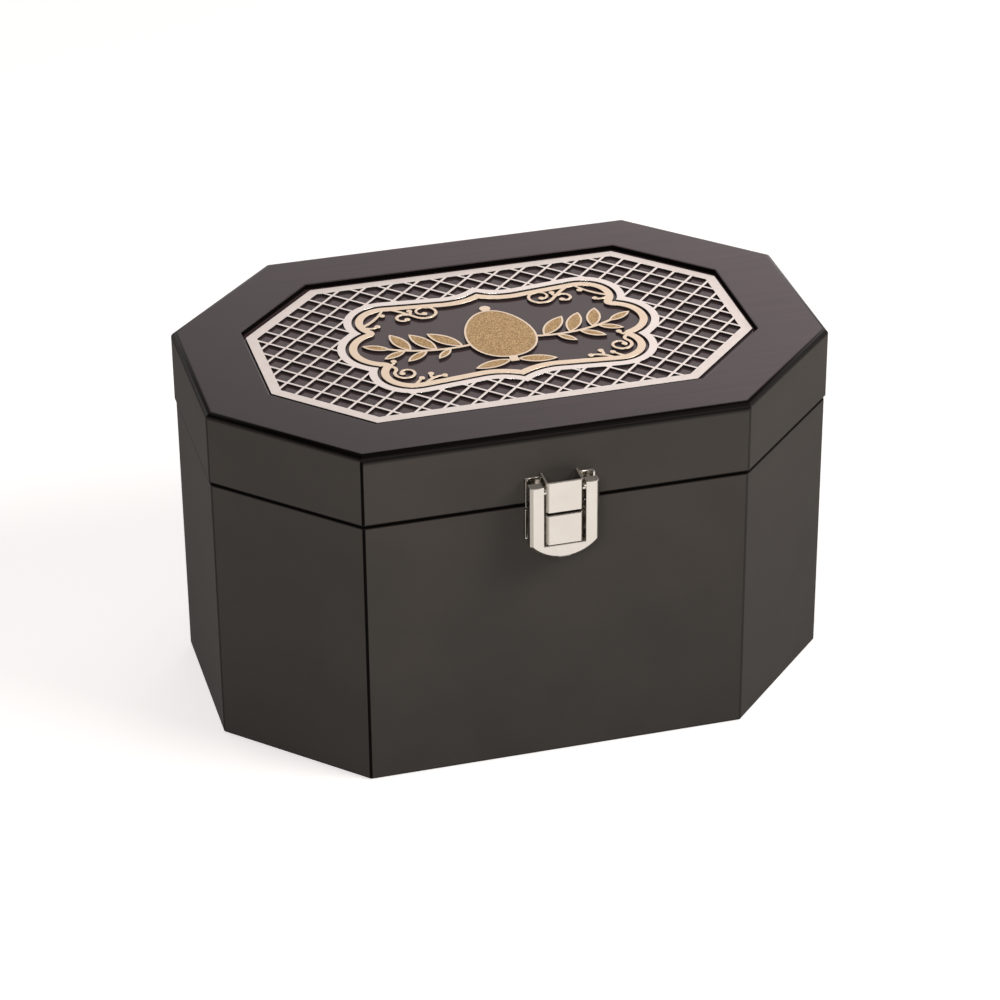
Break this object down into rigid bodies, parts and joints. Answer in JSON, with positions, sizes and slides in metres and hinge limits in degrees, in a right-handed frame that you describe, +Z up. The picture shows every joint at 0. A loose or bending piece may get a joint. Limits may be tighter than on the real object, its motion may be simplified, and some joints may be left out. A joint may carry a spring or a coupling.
{
  "type": "etrog box",
  "caption": "Octagonal painted wooden case with a stop-hinged lid, a padded nest for a citron, a pierced trellis and cartouche on top and a flip-up hasp in front.",
  "frame": {"origin": "middle of the underside, on the floor panel's lower face", "axes": "+X along the width, +Y from the latch to the hinges, +Z up"},
  "size_m": [0.179, 0.1303, 0.104],
  "materials": {
    "painted_wood": "satin charcoal paint over smooth board",
    "velvet": "short-pile velvet",
    "silver_sheet": "pale satin silver",
    "gold_sheet": "pale satin gold",
    "gold_glitter": "gold glitter",
    "nickel": "bright nickel plate"
  },
  "bodies": {
    "case": {"right_wall": "painted_wood", "back_right_wall": "painted_wood", "back_wall": "painted_wood", "back_left_wall": "painted_wood", "left_wall": "painted_wood", "front_left_wall": "painted_wood", "front_wall": "painted_wood", "front_right_wall": "painted_wood", "floor_panel": "painted_wood", "wall_lining": "velvet", "fruit_cushion": "velvet", "left_hinge_case_leaf": "nickel", "right_hinge_case_leaf": "nickel", "left_hinge_pin": "nickel", "right_hinge_pin": "nickel", "hinge_case_screws": "nickel", "latch_case_plate": "nickel", "latch_case_screws": "nickel"},
    "lid": {"lid_right_rail": "painted_wood", "lid_back_right_rail": "painted_wood", "lid_back_rail": "painted_wood", "lid_back_left_rail": "painted_wood", "lid_left_rail": "painted_wood", "lid_front_left_rail": "painted_wood", "lid_front_rail": "painted_wood", "lid_front_right_rail": "painted_wood", "lid_top": "painted_wood", "lid_pad": "velvet", "trellis_plate": "silver_sheet", "cartouche_frame": "gold_sheet", "sprig_frame": "gold_sheet", "sprig_inlay": "gold_glitter", "left_hinge_lid_leaf": "nickel", "right_hinge_lid_leaf": "nickel", "hinge_lid_screws": "nickel", "latch_lid_plate": "nickel", "latch_lid_screws": "nickel", "latch_pin": "nickel"},
    "latch": {"latch_lever": "nickel"}
  },
  "joints": [
    {"name": "lid_hinge", "type": "hinge", "parent": "case", "child": "lid", "pos_m": [0, 0.062, 0.082], "axis": [-1, 0, 0], "range_deg": [0, 95]},
    {"name": "latch_flip", "type": "hinge", "parent": "lid", "child": "latch", "pos_m": [0, -0.065, 0.0883], "axis": [-1, 0, 0], "range_deg": [0, 105]}
  ]
}
